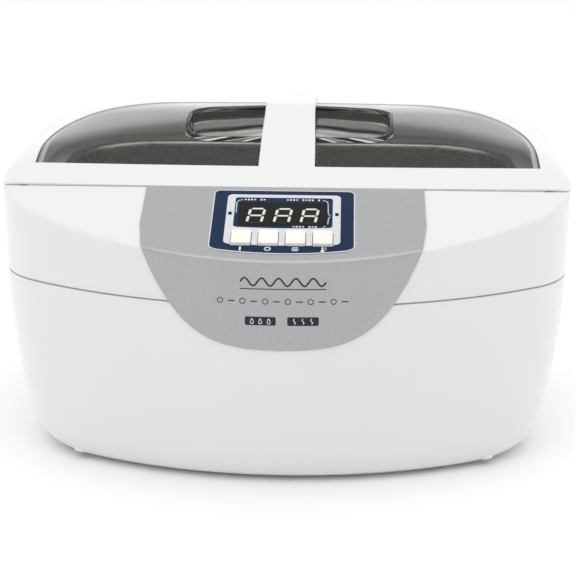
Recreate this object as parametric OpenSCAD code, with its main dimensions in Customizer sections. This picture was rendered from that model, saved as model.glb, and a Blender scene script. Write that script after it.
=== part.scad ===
// Table-top ultrasonic cleaner with a hinged, windowed lid.
// Millimetres. X to the right, Y to the back, Z up; the origin is on the table under the middle.

/* [Body] */
// Width of the body
body_w = 280; // [270:1:290]
// Distance from the middle to the front of the console crease
front_y = 114.2; // [112:0.1:116]
// Distance from the middle to the rear wall
rear_y = 109.5; // [108:0.1:111]
// Height of the seam between the base and the upper shell
base_top = 92.3; // [88:0.1:96]
// Height of the seam between the upper shell and the lid
lid_seam = 135.8; // [134:0.1:138]
// Wall thickness of the mouldings
wall = 2.8; // [2.4:0.1:3.2]
// Radius of the corners in plan
corner_r = 42; // [38:1:46]
// Radius of the bowed front in plan
front_r = 215; // [205:1:230]
// Radius of the nearly flat back in plan
rear_r = 1500; // [1200:50:2000]

/* [Console] */
// Slope of the console to the table
slope = 20.5; // [19:0.1:22]
// Distance from the middle to the console's upper edge
console_y = 56.6; // [55:0.1:58]
// Half the width of the silver fascia
fascia_hw = 67.5; // [64:0.1:70]
// Height of the fascia's lowest point
fascia_bottom = 70.4; // [68:0.1:74]
// Thickness of the fascia
fascia_t = 0.6; // [0.5:0.1:0.8]
// Pitch of the digits and the buttons
pitch = 12.7; // [12.7]
// Travel of a button
button_travel = 0.8; // [0.5:0.1:1]

/* [Lid] */
// Height of the dome over the seam, before its front is planed off
dome_h = 24.6; // [24:0.1:25]
// Half the width of the window at its front edge
window_hw = 125.5; // [124:0.1:126]
// Distance from the middle to the window's front edge
window_front = 38; // [37.5:0.5:39]
// Distance from the middle to the window's back edge
window_rear = 73; // [71:0.5:76]
// Half the width of the strap over the window
strap_hw = 14.2; // [13:0.1:15]
// Half the length of the finger recess
recess_hw = 54; // [50:1:56]

/* [Tank] */
// Inner width of the tank
tank_w = 228; // [220:1:229]
// Inner depth of the tank from front to back
tank_d = 120; // [116:1:122]
// Inner height of the tank
tank_h = 84; // [78:1:85]
// Radius of the tank's corners
tank_r = 38; // [30:1:40]
// Thickness of the tank sheet
tank_t = 0.8; // [0.8]

/* [Hidden] */

foot_h = 2;                       // the mouldings stand this far off the table
floor_t = 3;                      // thickness of the base's floor
floor_top = foot_h + floor_t;
bottom_fillet = [13, 8];          // how far the bottom edge tucks in at the sides and at the front
fillet_h = 13;
straight_z = 89;                  // the side walls stand plumb above this height
side_tuck = 10;                   // how far a side wall has come in at the fillet
rear_tuck = 6;
front_draft = 0.09;
crease_z = 114.3;
seam_gap = 0.3;                   // half of the gap at each seam
half_w = body_w / 2;
seam_top = lid_seam - seam_gap;
rim_w = 9;                        // width of the upper shell's rim round the lid's recess
deck_top = 131.5;
deck_t = 2.5;
slope_k = tan(slope);
recess_y = [-12, 50];             // front and back of the finger recess
recess_floor = 150;               // underside of the recess's floor
recess_r = [13, 20];              // radii of its front and back corners
recess_bow = 8;                   // how far its back edge bows
window_power = 3.5;               // how square the window's back corners are
dome_power = 0.39;                // how full the dome is
glass_t = 2.5;
frame_t = 2.6;
strap_rear = 102;                 // the strap has sunk into the lid's rim here
strap_rise = 5;                   // the strap's top stands this far over the dome
dome_blend = 4;                   // how softly the planed front meets the dome
hinge_x = 62;
hinge_y = 111.4;
hinge_r = 3.4;                    // outside of the hinge's knuckles
knuckle_room = 3.8;               // radius of the room round them
pin_r = 1.5;
knuckle_w = 5;                    // width of a bracket's knuckle
leaf_w = 7.8;                     // width of the lid's leaf, between two knuckles
tank_y = 8.5;                     // middle of the tank
tank_flange = 4.5;                // width of the tank's flange, from the inside of the tank
lip_bottom = deck_top + 1.7;      // the lid's lip ends this high, clear of the tank's flange
tank_bottom = 132.8 - tank_h;
transducer_x = 62;
button_x = [-1.5 * pitch, -0.5 * pitch, 0.5 * pitch, 1.5 * pitch];
button_size = [9.2, 10.8];
button_s = 43.9;                  // down the slope to the middle of the buttons
button_rise = 1.6;                // the buttons stand this far out of the fascia
stem_end = -7;                    // a button's stem ends this far behind the console's plane
display_s = 23.7;                 // down the slope to the middle of the display
display_size = [37.6, 18];
lens_size = [42, 19.4];
label_w = 68;
label_top = 3.3;                  // down the slope to the label's upper edge
label_side = 52.3;                // down the slope to the ends of its bowed lower edge
label_bow = 3.5;
label_r = 3;
board_n = -13;                    // the display board's face lies this far behind the console's plane
post_xy = [[-100, 86], [100, 86], [-100, -72], [100, -72]];
foot_xy = [[-84, 66], [84, 66], [-84, -58], [84, -58]];
fan_at = [-70, 92.5, 40];         // middle of the fan
fan_pitch = 16;                   // half the distance between the fan's screws
inlet_at = [70, 108.6, 37];
board_z = 11;
board_t = 1.6;
board_top = board_z + board_t;
seg = 24;

// ---- shapes that repeat ----

function arc(cx, cy, r, a0, a1, n) =
  [for (i = [0 : n - 1]) let (t = a0 + (a1 - a0) * i / n) [cx + r * cos(t), cy + r * sin(t)]];

// A bowed rectangle: half-width a, front at -yf, back at yb, every edge moved in by off.
function plan(a, yf, yb, off = 0) =
  let (rc = corner_r - off, rf = front_r - off, rr = rear_r - off, pc = a - corner_r,
       cf = front_r - yf, cb = yb - rear_r,
       qf = cf - sqrt(pow(rf - rc, 2) - pc * pc), qb = cb + sqrt(pow(rr - rc, 2) - pc * pc),
       af = asin(pc / (rf - rc)), ab = asin(pc / (rr - rc)), w = a - off)
  concat(arc(0, cf, rf, -90 - af, -90 + af, 16), arc(pc, qf, rc, -90 + af, 0, 9),
         [for (t = [0, 0.5]) [w, qf + (qb - qf) * t]], arc(pc, qb, rc, 0, 90 - ab, 9),
         arc(0, cb, rr, 90 - ab, 90 + ab, 8), arc(-pc, qb, rc, 90 + ab, 180, 9),
         [for (t = [0, 0.5]) [-w, qb + (qf - qb) * t]], arc(-pc, qf, rc, 180, 270 - af, 9));

function lift(ring, z) = [for (p = ring) [p[0], p[1], z]];

// The body's outline at height z, moved in by off.
function tuck(z) = z >= straight_z ? 0 : pow((straight_z - z) / (straight_z - foot_h - fillet_h), 2);
function fillet(z) = let (h = min(1, max(0, (z - foot_h) / fillet_h))) 1 - sqrt(1 - (1 - h) * (1 - h));
function body_ring(z, off) =
  lift(plan(half_w - side_tuck * tuck(z) - bottom_fillet[0] * fillet(z),
            front_y - front_draft * (crease_z - z) - bottom_fillet[1] * fillet(z),
            rear_y - rear_tuck * tuck(z) - bottom_fillet[1] * fillet(z), off), z);

module loft(rings) {
  n = len(rings[0]);
  m = len(rings);
  polyhedron(points = [for (r = rings) each r], faces = concat(
    [[for (i = [0 : n - 1]) i]], [[for (i = [n - 1 : -1 : 0]) (m - 1) * n + i]],
    [for (k = [0 : m - 2], i = [0 : n - 1]) let (a = k * n + i, b = k * n + (i + 1) % n)
      each [[a, a + n, b + n], [a, b + n, b]]]));
}

module body_solid(z0, z1, off) {
  steps = [0, 0.5, 1.6, 3.4, 6, 9.2, 13, 24, 38, 54, 70];
  inner = [for (h = steps) if (foot_h + h > z0 + 0.4 && foot_h + h < z1 - 0.4) foot_h + h];
  loft([for (z = concat([z0], inner, [z1])) body_ring(z, off)]);
}

// A profile in Y and Z, drawn across the whole width.
module side_profile(points) rotate([90, 0, 90]) linear_extrude(2 * body_w, center = true) polygon(points);

// Everything below the console's plane, which is moved down by drop along its normal.
module under_console(drop) {
  z = lid_seam - drop / cos(slope);
  side_profile([[-body_w, -1], [rear_y + 20, -1], [rear_y + 20, lid_seam + 5],
                [-console_y + 5 / slope_k, z + 5], [-body_w, z - slope_k * (body_w - console_y)]]);
}

module on_console() translate([0, -console_y, lid_seam]) rotate([slope, 0, 0]) children();

// The lid's dome is an ellipsoid over the plan, planed off at the front along the console.
function soft_min(a, b) = 0.5 * (a + b - sqrt(pow(a - b, 2) + pow(dome_blend, 2)));
function crown(s) = pow(1 - s * s, dome_power);
function dome_z(y, h, off) =
  soft_min(lid_seam + (dome_h - off) * h,
           lid_seam - off / cos(slope) + slope_k * (y + console_y) + dome_blend / 2 * (1 - h));
module dome(off) {
  tilts = [0, 4, 9, 15, 23, 32, 43, 55, 68, 82];
  flat = plan(half_w, front_y, rear_y);
  rings = concat([lift(plan(half_w, front_y, rear_y, off), 80)],
    [for (t = tilts) let (s = cos(t), h = crown(s))
      [for (p = flat) let (x = p[0] * (half_w - off) / half_w * s, y = p[1] * (rear_y - off) / rear_y * s)
        [x, y, dome_z(y, h, off)]]]);
  loft(rings);
}
module above_seam(z = lid_seam + seam_gap)
  translate([-body_w, -console_y + seam_gap, z]) cube([2 * body_w, 2 * rear_y, 60]);

// The window's outline: square corners at the front, and half a superellipse behind.
function window_outline(off) =
  let (a = window_hw - off, y0 = off - window_front, d = window_rear - off - y0, k = 2 / window_power)
  [for (i = [0 : 36]) let (t = 5 * i)
    [a * sign(90 - t) * pow(abs(cos(t)), k), y0 + d * pow(abs(sin(t)), k)]];
function recess_outline(off) =
  let (rf = recess_r[0] - off, rb = recess_r[1] - off, cf = recess_hw - recess_r[0],
       cb = recess_hw - recess_r[1], y0 = recess_y[0] + recess_r[0],
       y1 = recess_y[1] - recess_bow - recess_r[1])
  concat(arc(cf, y0, rf, -90, 0, 6), arc(cb, y1, rb, 0, 90, 8),
         [for (i = [5 : -1 : -5]) [cb * i / 5, y1 + rb + recess_bow * (1 - i * i / 25)]],
         arc(-cb, y1, rb, 97, 180, 7), arc(-cf, y0, rf, 180, 285, 7));
function strap_outline() = [[-strap_hw, -window_front - 4], [strap_hw, -window_front - 4],
  [strap_hw - 1.2, 30], [strap_hw, strap_rear], [-strap_hw, strap_rear], [1.2 - strap_hw, 30]];
// Height of the dome over the middle line, at y.
function middle_z(y, off) = dome_z(y, crown(y / rear_y), off);
module prism(points, z0, z1) translate([0, 0, z0]) linear_extrude(z1 - z0) polygon(points);

function round_rect(w, d, r, n = 6) =
  concat(arc(w / 2 - r, d / 2 - r, r, 0, 90, n), [[w / 2 - r, d / 2]],
         arc(r - w / 2, d / 2 - r, r, 90, 180, n), [[-w / 2, d / 2 - r]],
         arc(r - w / 2, r - d / 2, r, 180, 270, n), [[r - w / 2, -d / 2]],
         arc(w / 2 - r, r - d / 2, r, 270, 360, n), [[w / 2, r - d / 2]]);
module plate(w, d, r, z0, z1) prism(round_rect(w, d, r), z0, z1);
module tank_plate(grow, z0, z1)
  translate([0, tank_y, 0]) plate(tank_w + 2 * grow, tank_d + 2 * grow, tank_r + grow, z0, z1);

// A rod along X, h long from x, with its axis on the lid's hinge line.
module on_hinge(x, h, r)
  translate([x, hinge_y, lid_seam]) rotate([0, 90, 0]) cylinder(h = h, r = r, $fn = seg);

// A lead swept along its route with eight sides.
function unit(v) = v / norm(v);
module lead(route, r, side) {
  m = len(route);
  rings = [for (i = [0 : m - 1])
    let (t = unit(route[min(m - 1, i + 1)] - route[max(0, i - 1)]), u = unit(cross(t, side)),
         v = cross(t, u))
      [for (k = [0 : 7]) route[i] + r * (cos(45 * k) * u + sin(45 * k) * v)]];
  loft(rings);
}

// ---- casing ----

module base_shell() color("white") difference() {
  union() {
    difference() {
      body_solid(foot_h, base_top - seam_gap, 0);
      body_solid(floor_top, base_top + 1, wall);
    }
    for (p = post_xy) translate([p[0], p[1], floor_top - 1]) cylinder(h = 25, r = 5, $fn = seg);
    for (p = board_holes()) translate([p[0], p[1], floor_top - 1])
      cylinder(h = board_z - floor_top + 1, r = 3.2, $fn = seg);
    translate([inlet_at[0] - 22, inlet_at[1] - 8, inlet_at[2] - 16]) cube([44, 8, 32]);
    intersection() {
      body_solid(foot_h, base_top - seam_gap, 0.5);
      at_fan_screws() translate([0, 0, 5]) cylinder(h = 20, r = 3.4, $fn = seg);
    }
  }
  for (p = post_xy) translate([p[0], p[1], 0]) {
    cylinder(h = 40, r = 1.9, $fn = seg);
    cylinder(h = foot_h + 4, r = 3.6, $fn = seg);
  }
  for (p = board_holes()) translate([p[0], p[1], floor_top - 0.5]) cylinder(h = 9, r = 1.2, $fn = seg);
  for (p = foot_xy) translate([p[0], p[1], 0]) cylinder(h = foot_h + 1.5, r = 8, $fn = seg);
  // slots for the fan's air
  for (i = [-4 : 4]) let (half = sqrt(pow(17.5, 2) - pow(4 * i, 2)))
    translate([fan_at[0] + 4 * i - 1.1, fan_at[1], fan_at[2] - half]) cube([2.2, 30, 2 * half]);
  at_fan_screws() cylinder(h = 8.7, r = 1.5, $fn = seg);
  translate([inlet_at[0] - 14, inlet_at[1] - 20, inlet_at[2] - 10]) cube([28, 30, 20]);
}

// Along +Y from the middle of the fan, at each of its four corners.
module at_fan_screws() for (x = [-fan_pitch, fan_pitch], z = [-fan_pitch, fan_pitch])
  translate(fan_at + [x, 0, z]) rotate([-90, 0, 0]) children();

module upper_shell() color("white") difference() {
  union() {
    difference() {
      intersection() {
        loft([for (z = [base_top + seam_gap, 114, seam_top]) body_ring(z, 0)]);
        under_console(seam_gap);
      }
      intersection() {
        loft([for (z = [base_top - 1, 114, deck_top - deck_t]) body_ring(z, wall)]);
        under_console(wall + seam_gap);
      }
    }
    for (p = post_xy) translate([p[0], p[1], floor_top + 24.3])
      cylinder(h = (p[1] > 0 ? deck_top - 1 : 127.7) - floor_top - 24.3, r = 4.5, $fn = seg);
  }
  intersection() {
    prism(plan(half_w, front_y, rear_y, rim_w), deck_top, 150);
    translate([-body_w, -console_y - seam_gap, 0]) cube([2 * body_w, 2 * rear_y, 200]);
  }
  tank_plate(tank_t + 0.4, 100, 150);
  for (p = post_xy) translate([p[0], p[1], 0]) cylinder(h = 45, r = 1.9, $fn = seg);
  for (s = [-1, 1]) {
    translate([s * hinge_x - 11, 107.1, 124]) cube([22, 20, 30]);
    on_hinge(s * hinge_x - 11, 22, knuckle_room);
  }
  on_console() console_cutouts(0.4);
}

// Holes for the display and the four buttons, in the console's plane.
module console_cutouts(gap) {
  translate([0, -display_s, -10]) plate(lens_size[0] + gap, lens_size[1] + gap, 1, 0, 20);
  for (x = button_x) translate([x, -button_s, -10])
    plate(button_size[0] + 2 * gap, button_size[1] + 2 * gap, 1.2, 0, 20);
}

function fascia_edge(x) = fascia_bottom + 0.001975 * x * x + 2.188e-6 * pow(x, 4);
module fascia() color("silver") difference() {
  intersection() {
    loft([for (z = [60, 92, 114, seam_top + 1]) body_ring(z, -fascia_t)]);
    under_console(seam_gap - fascia_t);
    translate([0, -console_y - 0.5, 0]) rotate([90, 0, 0]) linear_extrude(80)
      polygon(concat([[fascia_hw, 150], [-fascia_hw, 150]],
                     [for (i = [-16 : 16]) [i / 16 * fascia_hw, fascia_edge(i / 16 * fascia_hw)]]));
  }
  intersection() {
    body_solid(50, seam_top + 2, 0);
    under_console(seam_gap);
  }
  on_console() console_cutouts(0.4);
}

// The label's lower edge bows with the crease.
function label_outline() = let (w = label_w / 2, r = label_r)
  concat(arc(w - r, -label_top - r, r, 0, 90, 6), arc(r - w, -label_top - r, r, 90, 180, 6),
         arc(r - w, r - label_side, r, 180, 262, 6),
         [for (t = [-0.85 : 0.17 : 0.86]) [w * t, -label_side - label_bow * (1 - t * t)]],
         arc(w - r, r - label_side, r, 278, 360, 6));
module control_label() color("midnightblue") on_console() difference() {
  prism(label_outline(), fascia_t - seam_gap, fascia_t);
  console_cutouts(0.3);
}

module display_lens() color("black") on_console() translate([0, -display_s, 0])
  plate(lens_size[0], lens_size[1], 0.8, -1.4, fascia_t + 0.1);

// ---- controls ----

module button(x) color("ivory") on_console() translate([x, -button_s, 0]) {
  plate(button_size[0], button_size[1], 1, -4, fascia_t + button_rise);
  translate([0, 0, stem_end]) cylinder(h = -4 - stem_end, r = 2, $fn = seg);
}
module button_on() button(button_x[0]);
module button_off() button(button_x[1]);
module button_set() button(button_x[2]);
module button_tc() button(button_x[3]);

// A pressed button stops 0.2 short of its switch's plunger.
module tact_switches() color("dimgray") on_console() for (x = button_x) translate([x, -button_s, board_n]) {
  translate([-3, -3, 0]) cube([6, 6, 3.5]);
  cylinder(h = stem_end - button_travel - 0.2 - board_n, r = 1.7, $fn = seg);
}

module led_display() color("black") on_console()
  translate([-display_size[0] / 2, -display_s - display_size[1] / 2, board_n])
    cube([display_size[0], display_size[1], 8]);

module indicator_leds() color("red") on_console() for (x = [-25.4, 25.4]) translate([x, -display_s, board_n])
  cylinder(h = 9, r = 1.4, $fn = seg);

module display_board() color("darkgreen") on_console() difference() {
  translate([-36, -50, board_n - board_t]) cube([72, 40, board_t]);
  for (x = [-33, 33], s = [14, 46]) translate([x, -s, -20]) cylinder(h = 20, r = 1.2, $fn = seg);
}

module display_ribbon() color("gainsboro") translate([-9, 0, 0]) rotate([90, 0, 90]) linear_extrude(18)
  polygon([[-84.6, 107.5], [-84.6, 40], [-71.8, board_top], [-65, board_top], [-65, board_top + 1],
           [-71.2, board_top + 1], [-83.8, 40.3], [-83.8, 107.8]]);

// ---- lid ----

module lid_frame() color("white") difference() {
  union() {
    difference() {
      intersection() {
        dome(0);
        above_seam();
      }
      difference() {
        dome(frame_t);
        prism(window_outline(-3), 100, 200);
        for (s = [-1, 1]) translate([s * hinge_x - 12, 97, 100]) cube([24, 20, 43]);
      }
      // behind the window's ledge
      intersection() {
        prism(window_outline(-3), 100, 200);
        dome(0.6 + glass_t + 2);
      }
      // the pocket that the window lies in, and the opening in its floor
      difference() {
        prism(window_outline(0), 100, 200);
        dome(0.6 + glass_t);
      }
      prism(window_outline(3), 100, 200);
    }
    lid_lip();
    // the strap over the window: it carries on the front's slope, and sinks into the rim behind
    intersection() {
      difference() {
        dome(-strap_rise);
        dome(0.5);
      }
      prism(strap_outline(), 100, 200);
      side_profile([[-console_y, 130], [-console_y, lid_seam], [50, lid_seam + slope_k * (50 + console_y)],
                    [strap_rear - 22, middle_z(strap_rear - 22, -strap_rise) + 1],
                    [strap_rear, middle_z(strap_rear, 0) - 0.5], [strap_rear, 130]]);
    }
  }
  for (s = [-1, 1]) {
    on_hinge(s * hinge_x - 11, 22, knuckle_room);
    leaf_tongue(s);
  }
}

// The lip that drops into the upper shell's recess.
module lid_lip() {
  y0 = seam_gap - console_y;
  difference() {
    intersection() {
      prism(plan(half_w, front_y, rear_y, rim_w + 1.2), lip_bottom, 160);
      dome(1);
      side_profile([[y0, 100], [y0, lid_seam - 0.5],
                    [rear_y, lid_seam - 0.5 + slope_k * (rear_y + console_y)], [rear_y, 100]]);
    }
    prism(plan(half_w, front_y, rear_y, rim_w + 3.2), 100, 200);
  }
  translate([-half_w + 15, y0, lip_bottom]) cube([body_w - 30, 3, lid_seam + 0.4 - lip_bottom]);
}

module lid_window() color("dimgray", 0.6) difference() {
  union() {
    difference() {
      intersection() {
        prism(window_outline(0.3), 100, 200);
        dome(0.6);
      }
      dome(0.6 + glass_t);
    }
    intersection() {
      prism(recess_outline(0), recess_floor, 200);
      dome(0.6);
    }
  }
  prism(recess_outline(2), recess_floor + 2, 200);
}

module leaf_tongue(s)
  translate([s * hinge_x - leaf_w / 2, 100, lid_seam + 0.6]) cube([leaf_w, hinge_y - 100, 2.8]);
module lid_hinge_leaves() color("gainsboro") for (s = [-1, 1]) difference() {
  union() {
    leaf_tongue(s);
    on_hinge(s * hinge_x - leaf_w / 2, leaf_w, hinge_r);
  }
  on_hinge(s * hinge_x - 10, 20, pin_r + 0.05);
}

module hinge_brackets() color("gainsboro") for (s = [-1, 1]) difference() {
  union() {
    translate([s * hinge_x - 10.5, 107.1, 124.3]) cube([21, 3, 7]);
    for (t = [-1, 1]) let (x = s * hinge_x + t * 6.8 - knuckle_w / 2) {
      translate([x, 107.1, 124.3]) cube([knuckle_w, 3, 11]);
      on_hinge(x, knuckle_w, hinge_r);
    }
  }
  on_hinge(s * hinge_x - 15, 30, pin_r);
}

module hinge_pins() color("silver") for (s = [-1, 1]) on_hinge(s * hinge_x - 9.5, 19, pin_r);

// ---- tank and what is fixed to it ----

module tank() color("silver") {
  difference() {
    union() {
      tank_plate(tank_t, tank_bottom - tank_t, deck_top + 1);
      tank_plate(tank_flange, deck_top + 0.5, deck_top + 1.3);
    }
    tank_plate(0, tank_bottom, 200);
  }
}

module tank_gasket() color("gray") difference() {
  tank_plate(tank_flange - 0.7, deck_top, deck_top + 0.5);
  tank_plate(tank_t, 100, 200);
}

module at_transducers() for (s = [-1, 1])
  translate([s * transducer_x, tank_y, tank_bottom - tank_t]) children();
module transducer_heads() color("silver") at_transducers() rotate([180, 0, 0]) difference() {
  cylinder(h = 14, r = 19, $fn = 48);
  translate([0, 0, 4]) cylinder(h = 20, r = 4, $fn = seg);
}
module ring_stack(z, t, r, bore) translate([0, 0, -z - t]) difference() {
  cylinder(h = t, r = r, $fn = 48);
  translate([0, 0, -1]) cylinder(h = t + 2, r = bore, $fn = seg);
}
module piezo_rings() color("dimgray") at_transducers() for (z = [14.4, 19.8]) ring_stack(z, 5, 17.5, 6);
module piezo_electrodes() color("goldenrod") at_transducers() for (z = [14, 19.4, 24.8]) {
  ring_stack(z, 0.4, 17.5, 6);
  translate([17, -2.5, -z - 0.4]) cube([7, 5, 0.4]);
}
module transducer_tails() color("darkgray") at_transducers() ring_stack(25.2, 10, 17.5, 4.6);
module transducer_bolts() color("dimgray") at_transducers() {
  translate([0, 0, -35.2]) cylinder(h = 31.2, r = 4, $fn = seg);
  translate([0, 0, -38.7]) cylinder(h = 3.5, r = 6.5, $fn = 48);
}

module heater_pads() color("orangered") for (s = [-1, 1])
  translate([-72, tank_y + s * (tank_d / 2 + tank_t + 0.7) - 0.7, tank_bottom + 12]) cube([144, 1.4, 46]);

module thermostat() color("black") translate([0, tank_y, tank_bottom - tank_t - 6]) {
  cylinder(h = 6, r = 8, $fn = 48);
  for (x = [-4, 4]) translate([x - 0.4, -3, -5]) cube([0.8, 6, 5]);
}

// ---- electronics in the base ----

function board_holes() = [for (x = [-34, 34], y = [-66, 52]) [x, y]];
module main_board() color("darkgreen") difference() {
  translate([-38, -70, board_z]) cube([76, 126, board_t]);
  for (p = board_holes()) translate([p[0], p[1], 0]) cylinder(h = 30, r = 1.6, $fn = seg);
}
module board_screws() color("silver") for (p = board_holes()) translate([p[0], p[1], 0]) {
  translate([0, 0, board_top]) cylinder(h = 1.8, r = 2.8, $fn = seg);
  translate([0, 0, 5]) cylinder(h = board_top - 5, r = 1.2, $fn = seg);
}
module on_board(x, y) translate([x, y, board_top]) children();
module transformer() color("goldenrod") on_board(-16, -28) {
  translate([-15, -14, 0]) cube([30, 28, 5]);
  translate([-12, -16, 5]) cube([24, 32, 18]);
}
module capacitors() color("midnightblue") for (y = [-50, -29]) on_board(21, y)
  cylinder(h = 24, r = 9, $fn = 48);
module heat_sink() color("darkgray") on_board(14, 26) {
  translate([-16, 0, 0]) cube([32, 3, 25]);
  for (i = [0 : 6]) translate([-16 + 5 * i, 3, 0]) cube([2, 11, 25]);
}
module power_transistors() color("black") for (x = [-10, 6]) on_board(14 + x, 21.4) cube([10, 4.6, 16]);
module relay() color("steelblue") on_board(-30, 20) cube([19, 15, 15]);
module fuse_holder() color("black") on_board(-20, 46) difference() {
  translate([-12, -4, 0]) cube([24, 8, 8]);
  translate([-10, 0, 9]) rotate([0, 90, 0]) cylinder(h = 20, r = 2.6, $fn = seg);
}

module fan_frame() color("black") translate(fan_at) rotate([90, 0, 0]) {
  translate([0, 0, -5]) linear_extrude(10) difference() {
    square(40, center = true);
    circle(r = 18.6, $fn = 48);
    for (x = [-fan_pitch, fan_pitch], y = [-fan_pitch, fan_pitch])
      translate([x, y]) circle(r = 1.6, $fn = seg);
  }
  // the spider that carries the rotor's bearing
  difference() {
    union() {
      translate([0, 0, -4.9]) cylinder(h = 1.5, r = 9, $fn = seg);
      for (a = [45 : 90 : 315]) rotate([0, 0, a]) translate([7, -1.2, -4.8]) cube([12.4, 2.4, 1.3]);
    }
    cylinder(h = 30, r = 1.05, center = true, $fn = seg);
  }
}
module fan_rotor() color("dimgray") translate(fan_at) {
  translate([0, 2.9, 0]) rotate([90, 0, 0]) cylinder(h = 7.6, r = 9, $fn = 48);
  translate([0, 4.6, 0]) rotate([90, 0, 0]) cylinder(h = 3, r = 1, $fn = seg);
  for (i = [0 : 6]) rotate([0, i * 360 / 7, 0]) translate([8.4, -0.9, 0]) rotate([35, 0, 0])
    translate([0, -0.6, -4]) cube([9.2, 1.2, 8]);
}
module fan_screws() color("silver") at_fan_screws() {
    translate([0, 0, -6.6]) cylinder(h = 1.6, r = 2.6, $fn = seg);
    translate([0, 0, -5]) cylinder(h = 13.5, r = 1.5, $fn = seg);
  }

// A mains inlet with three blades in a keyed cavity, facing back.
module power_inlet() color("black") translate(inlet_at) rotate([90, 0, 180]) difference() {
  union() {
    translate([0, 0, -24]) plate(27.4, 19.4, 3, 0, 24);
    plate(34, 26, 4, 0, 2.2);
  }
  translate([0, 0, -15]) prism([[-12, -8], [12, -8], [12, 4], [8, 8], [-8, 8], [-12, 4]], 0, 20);
  for (b = blades) translate([b[0] - 1, b[1] - 2, -30]) cube([2, 4, 20]);
}
blades = [[-7, -2], [7, -2], [0, 3.6]];
module inlet_pins() color("silver") translate(inlet_at) rotate([90, 0, 180])
  for (b = blades) translate([b[0] - 1, b[1] - 2, -29]) cube([2, 4, 25]);

module mains_leads() color("saddlebrown") for (x = [-3, 3])
  lead([[70 + x * 2.3, 79, 35], [68 + x, 70, 30 + x], [60, 60, 25 + x], [46, 54, 22 + x],
        [36 - x, 47, 19 + x], [32 - x, 43, 16.5], [32 - x, 43, board_top]], 1.4, [0, 1, 0]);
module transducer_leads() color("crimson") for (s = [-1, 1])
  lead([[s * 62, tank_y - 20, 20], [s * 54, -14, 17], [s * 46, -16, 18], [s * 40, -12, 18.5],
        [s * 34, -8, 17.5], [s * 33, -6, 15.6], [s * 33, -6, board_top]], 1.2, [0, 1, 0]);
module heater_leads() color("white") {
  lead([[20, -55.6, 66], [22, -60, 50], [24, -65, 34], [26, -66, 23], [27, -64, 16.5], [27, -64, board_top]],
       1.2, [1, 0, 0]);
  lead([[-20, 72.6, 66], [-22, 74, 50], [-23, 70, 32], [-24, 62, 24], [-24, 53, 18], [-24, 53, board_top]],
       1.2, [1, 0, 0]);
}

// ---- feet and fasteners ----

module rubber_feet() color("dimgray") for (p = foot_xy) translate([p[0], p[1], 0])
  cylinder(h = foot_h + 1.5, r = 8, $fn = 48);

module base_screws() color("silver") for (p = post_xy) translate([p[0], p[1], 0]) {
  translate([0, 0, foot_h + 1.2]) cylinder(h = 2.8, r = 3.6, $fn = seg);
  translate([0, 0, foot_h + 4]) cylinder(h = 36, r = 1.9, $fn = seg);
}

base_shell();
upper_shell();
fascia();
control_label();
display_lens();
led_display();
indicator_leds();
button_on();
button_off();
button_set();
button_tc();
tact_switches();
display_board();
display_ribbon();
lid_frame();
lid_window();
lid_hinge_leaves();
hinge_brackets();
hinge_pins();
tank();
tank_gasket();
transducer_heads();
piezo_rings();
piezo_electrodes();
transducer_tails();
transducer_bolts();
heater_pads();
thermostat();
main_board();
board_screws();
transformer();
capacitors();
heat_sink();
power_transistors();
relay();
fuse_holder();
fan_frame();
fan_rotor();
fan_screws();
power_inlet();
inlet_pins();
mains_leads();
transducer_leads();
heater_leads();
rubber_feet();
base_screws();
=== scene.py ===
"""Ultrasonic cleaner: the looks of its casing, lid, console and tank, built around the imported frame."""

from math import asin, atan2, cos, degrees, exp, pi, radians, sin, sqrt, tan

import bmesh
import bpy
import numpy as np
from mathutils import Matrix, Vector


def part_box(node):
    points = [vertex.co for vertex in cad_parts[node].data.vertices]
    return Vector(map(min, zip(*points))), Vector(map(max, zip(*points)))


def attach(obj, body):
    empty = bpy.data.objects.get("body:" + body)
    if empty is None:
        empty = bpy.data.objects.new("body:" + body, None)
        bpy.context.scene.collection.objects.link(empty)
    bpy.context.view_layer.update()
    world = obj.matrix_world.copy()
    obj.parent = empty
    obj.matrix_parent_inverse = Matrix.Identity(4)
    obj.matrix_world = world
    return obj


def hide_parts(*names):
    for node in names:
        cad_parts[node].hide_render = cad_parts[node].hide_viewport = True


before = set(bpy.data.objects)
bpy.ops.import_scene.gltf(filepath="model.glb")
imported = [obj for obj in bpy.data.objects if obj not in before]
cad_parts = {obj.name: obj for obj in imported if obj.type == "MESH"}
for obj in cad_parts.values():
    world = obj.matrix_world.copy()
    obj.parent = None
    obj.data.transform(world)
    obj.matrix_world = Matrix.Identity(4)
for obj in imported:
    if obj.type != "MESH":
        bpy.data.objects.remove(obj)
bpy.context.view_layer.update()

# ---------------------------------------------------------------- driving dimensions, in millimetres

MM = 0.001
ROD_SIDES = 32


def node_box(node):
    low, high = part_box(node)
    return np.array(low) / MM, np.array(high) / MM


SHELL_LOW, SHELL_HIGH = node_box("upper_shell")
LID_LOW, LID_HIGH = node_box("lid_frame")
TANK_LOW, TANK_HIGH = node_box("tank")

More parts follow.
